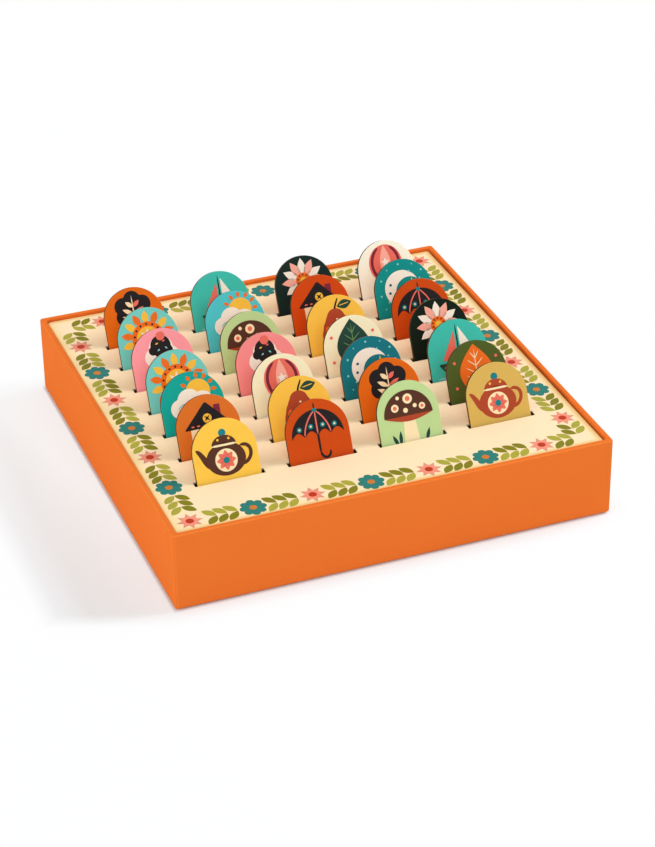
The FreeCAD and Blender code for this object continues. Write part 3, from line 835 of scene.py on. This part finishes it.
def make_wrap():
    """The orange paper as one closed sheet: under the box, up the walls, over the rim in two
    quarter rounds and down inside to the end of the turn-in, then back along the board. The
    paper of the front and back turns round onto the left and right walls, 4 mm wide with
    the corner at the bottom and 7 mm at the top. Beyond that fold those walls are a little
    sunk."""
    top = box_mm("outer_wrap")[1]
    half, high = top[0], top[2]
    inner = half - WALL
    rim, lip, foot = 0.6, 0.3, 0.9
    fold_at_foot, fold_gain, sunk = 2.6, 3.0, 0.14
    a = np.linspace(0, np.pi / 2, 6)
    path = [(half - foot - 0.1, 0.0)]
    path += [(half - foot + foot * math.sin(b), foot - foot * math.cos(b)) for b in a]
    path += [(half, z) for z in (4, 10, 16, 22, 28, 34)]
    path += [(half - rim + rim * math.cos(b), high - rim + rim * math.sin(b)) for b in a]
    path += [(half - 1.1, high), (half - 1.6, high)]
    path += [(inner + lip - lip * math.sin(b), high - lip + lip * math.cos(b)) for b in a]
    path += [(inner, high - 3), (inner, high - 9), (inner, high - TURN_IN)]
    path += [(inner + PAPER, high - TURN_IN), (inner + PAPER, high - PAPER)]
    path += [(half - PAPER, high - PAPER), (half - PAPER, PAPER)]
    points, fold_line_shades = [], []
    for out, z in path:
        radius = max(EDGE_RADIUS - (half - out), LEAST_RADIUS)
        if out < half - 2.0:
            radius = MOUTH_RADIUS
        ring, beyond, fold_line_shading = wrap_ring(out, radius, fold_at_foot + fold_gain * z / high)
        outside = float(out > half - rim and PAPER < z < high - PAPER)
        depth = sunk * beyond * outside
        ring = ring * np.stack([1 - depth / half, np.ones(len(depth))], -1)
        points.append(np.column_stack([ring, np.full(len(ring), z)]))
        fold_line_shades.append(fold_line_shading * outside)
    return put_mesh("wrapping_paper", np.concatenate(points), ring_faces(len(path), len(points[0])),
                    [FINISHES["wrap"]], smooth=True, fold_line_shade=np.concatenate(fold_line_shades))


# Everything put together

FINISHES = {name: print_on_paper("ink_" + name, colour, 0.03, 6.0) for name, colour in INKS.items()}
FINISHES.update({name: print_on_paper("garland_" + name, *ink) for name, ink in GARLAND_INKS.items()})
FINISHES.update({
    "wrap": wrapping_paper("orange_wrapping_paper", (234, 118, 47)),
    # The deck's yellow and tan edge colours are painted shade
    "deck": deck_card("cream_printed_card", printed=(253, 228, 188), edge_shade_yellow=(253, 226, 160),
                      fold_shade_tan=(222, 170, 100), raw=(226, 212, 188)),
    "tile_edge": greyboard("tile_cut_edge", (66, 42, 18), (108, 78, 46), layered=True),
    "tile_back": dotted_back("tile_back_print", (240, 134, 62), (250, 226, 184)),
    "board": greyboard("greyboard_panels", (112, 84, 56), (168, 140, 106)),
    "card": raw_card("white_rib_card", (232, 226, 212)),
    "tape": raw_card("kraft_corner_tape", (222, 206, 176), 0.4)})

for column, tiles in enumerate(TILES, start=1):
    for row, (ground, picture) in zip(range(7, 0, -1), tiles):
        node = "tile_row%d_col%d" % (row, column)
        body = node + "_body"
        kind = "ground_" + ground
        if kind not in FINISHES:
            FINISHES[kind] = print_on_paper("tile_" + kind, GROUNDS[ground], 0.03, 8.0)
        board = make_tile(node, FINISHES[kind])
        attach(board, body)
        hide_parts(node)
        art = make_picture(node, picture())
        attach(art, body)

for piece in make_garland():
    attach(piece, "box")

wrap = make_wrap()
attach(wrap, "box")
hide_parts("outer_wrap")

for node, thing in NODES.items():
    if node.startswith("tile") or node == "outer_wrap":
        continue
    kind = "board"
    if node == "slotted_deck":
        kind = "deck"
    elif node.startswith("corner_stay"):
        kind = "tape"
    elif node.startswith("deck_rib"):
        kind = "card"
    for slot in thing.material_slots:
        slot.material = FINISHES[kind]


# Stage: floor, light and camera

# The share of plain white in the floor beside the box, and the strength of the even light
FLOOR_WHITE = 0.5
WORLD_LIGHT = 0.6

# The camera as solved from the photo: the sensor's longer side in millimetres, the focal length
# and the picture's height in pixels, the place in metres, and the three turns in degrees
SENSOR = 36.0
FOCAL_PIXELS = 2549.3
PICTURE_PIXELS = 847.0
EYE = (-0.38204, -1.02470, 0.67036)
AZIMUTH = -20.776
ELEVATION = 31.009
ROLL = -0.722


def make_floor():
    """A pale floor, a little under the box, which leaves a thin dark line round its foot. To
    the camera and in gloss it is partly plain white, which keeps the shadows faint: more so on
    the lit sides and farther out, and not at all under the box. In the shadow on the left this
    share grows by 1 in 0.1 m towards the box and by 0.22 in 0.1 m towards the back, up to 0.7.
    That shadow ends 0.159 m from the middle and at two slanted lines, 0.35 x + 0.94 y = -0.142
    and 0.065. To all other light the floor is white paint."""
    f = Finish("pale_floor")
    pale = f.noise(400.0, 2.0)
    colours = f.mix(pale, linear((243, 249, 254)), linear((244, 250, 255)))
    paint = f.node("ShaderNodeBsdfDiffuse", {}, {"Color": colours})
    white = f.node("ShaderNodeEmission", {}, {"Color": (1.0, 1.0, 1.0, 1.0), "Strength": 1.0})
    x, y = f.axis("X"), f.axis("Y")
    wall = BOX_HALF * MM
    # Painted shadow: beyond these lines the white glow hides the lamp's shadow, so its outline is painted
    slant = x * 0.35 + y * 0.94
    lit = (-wall - y).larger(-0.1421 - slant).larger(x - wall).larger(slant - 0.0649).larger(-0.159 - x)
    away = (x * x + y * y).root().above(0.34, 0.2).larger(lit.above(0.006, 0.01) * 0.92)
    beside = x.size().larger(y.size()).above(wall + 0.0008, 0.001)
    left = (-wall - x).above(0.0, 0.001)
    # Painted shadow: inside it the glow grows towards the box and the back, painting how it fades
    base = left * ((x * 10.0 + y * 2.2).above(-1.51, 0.7) * 0.7 - FLOOR_WHITE) + FLOOR_WHITE
    share = f.looked_at() * beside * (base + away * (1 - base))
    both = f.node("ShaderNodeMixShader", {}, {0: share, 1: paint, 2: white})
    ring = disc(0.0, 0.0, 9000.0, count=96)
    sheet = np.concatenate([np.column_stack([ring, np.full(len(ring), z)]) for z in (-20.0, -0.7)])
    return put_mesh("pale_floor", sheet, ring_faces(2, len(ring)), [f.shown(both)])


def make_world():
    """White to the camera and in gloss, and a soft even light on everything else."""
    world = bpy.data.worlds.new("studio")
    bpy.context.scene.world = world
    world.use_nodes = True
    tree = Tree(world.node_tree)
    light = tree.node("ShaderNodeBackground", {}, {
        "Color": (1.0, 0.985, 0.93, 1.0), "Strength": WORLD_LIGHT})
    seen = tree.node("ShaderNodeBackground", {}, {"Color": (1.0, 1.0, 1.0, 1.0), "Strength": 1.0})
    both = tree.node("ShaderNodeMixShader", {}, {0: tree.looked_at(), 1: light, 2: seen})
    tree.node("ShaderNodeOutputWorld", {}, {"Surface": both})


def aim(thing, place, direction, roll=0.0):
    """Stand a lamp or the camera at a place in metres, looking in a direction."""
    forward = np.array(direction, float) / np.linalg.norm(direction)
    right = np.cross(forward, (0, 0, 1))
    right /= np.linalg.norm(right)
    up = np.cross(right, forward)
    c, s = math.cos(roll), math.sin(roll)
    axes = np.stack([c * right + s * up, c * up - s * right, -forward], -1)
    matrix = np.eye(4)
    matrix[:3, :3], matrix[:3, 3] = axes, place
    thing.matrix_world = Matrix(matrix.tolist())


def make_lamp(name, place, size, power, colour=(1.0, 1.0, 1.0)):
    """A square soft box that looks at the middle of the object."""
    lamp = bpy.data.lights.new(name, "AREA")
    lamp.size, lamp.energy, lamp.color = size, power, colour
    thing = bpy.data.objects.new(name, lamp)
    bpy.context.scene.collection.objects.link(thing)
    aim(thing, place, np.array([0.0, 0.0, 0.03]) - np.array(place))


def make_camera():
    """The camera at its solved place. Its direction is (-sin a cos e, cos a cos e, -sin e) for
    the azimuth a and the elevation e."""
    camera = bpy.data.cameras.new("camera")
    camera.lens = SENSOR * FOCAL_PIXELS / PICTURE_PIXELS
    camera.clip_end = 50.0
    thing = bpy.data.objects.new("camera", camera)
    bpy.context.scene.collection.objects.link(thing)
    a, e = math.radians(AZIMUTH), math.radians(ELEVATION)
    direction = (-math.sin(a) * math.cos(e), math.cos(a) * math.cos(e), -math.sin(e))
    aim(thing, EYE, direction, math.radians(ROLL))
    return thing


make_floor()
make_world()
make_lamp("key", (1.7, 0.0, 1.4), 0.9, 22.5, (1.0, 1.0, 1.08))
make_lamp("left", (-2.1, -0.45, 0.42), 1.0, 17.5)
make_lamp("front", (-0.1, -1.8, 1.3), 0.9, 8.0)
make_lamp("back", (1.2, 1.2, 1.5), 0.9, 3.0)

bpy.context.scene.camera = make_camera()
bpy.context.scene.view_settings.view_transform = "Standard"
